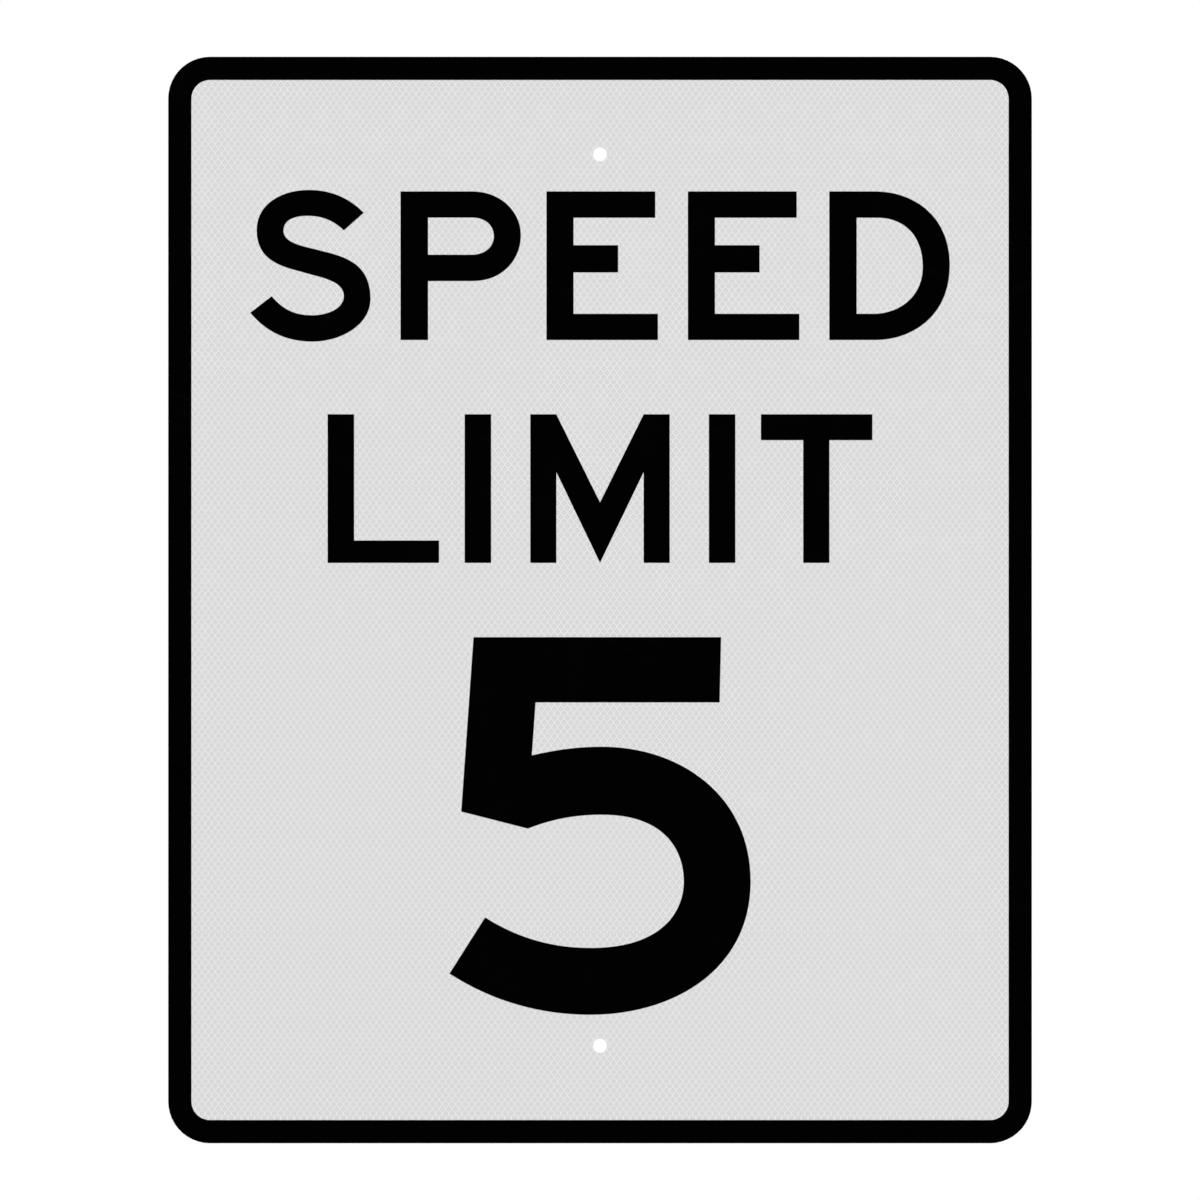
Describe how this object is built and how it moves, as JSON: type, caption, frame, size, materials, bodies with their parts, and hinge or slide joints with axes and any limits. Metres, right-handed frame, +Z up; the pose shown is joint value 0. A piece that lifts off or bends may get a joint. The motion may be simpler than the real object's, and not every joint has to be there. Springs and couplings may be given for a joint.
{
  "type": "speed limit sign",
  "caption": "Flat aluminium road sign with round corners, faced with white retroreflective sheeting, with a black border band, a black numeral and bolt holes on its middle line.",
  "frame": {"origin": "midway between the two bolt holes, on the back face of the aluminium blank", "axes": "+X to the reader's right, +Z up, -Y the way the printed face looks and +Y towards the post"},
  "size_m": [0.5906, 0.0025, 0.743],
  "materials": {
    "mill_aluminium": "mill finish, lightly brushed along its length, with deburred edges",
    "white_sheeting": "white prismatic sheeting with a lattice of sealed cells under a smooth clear face",
    "black_film": "black film with a low satin gloss"
  },
  "bodies": {
    "root": {"sign_blank": "mill_aluminium", "reflective_sheeting": "white_sheeting", "border_film": "black_film", "numeral_film": "black_film"}
  },
  "joints": []
}
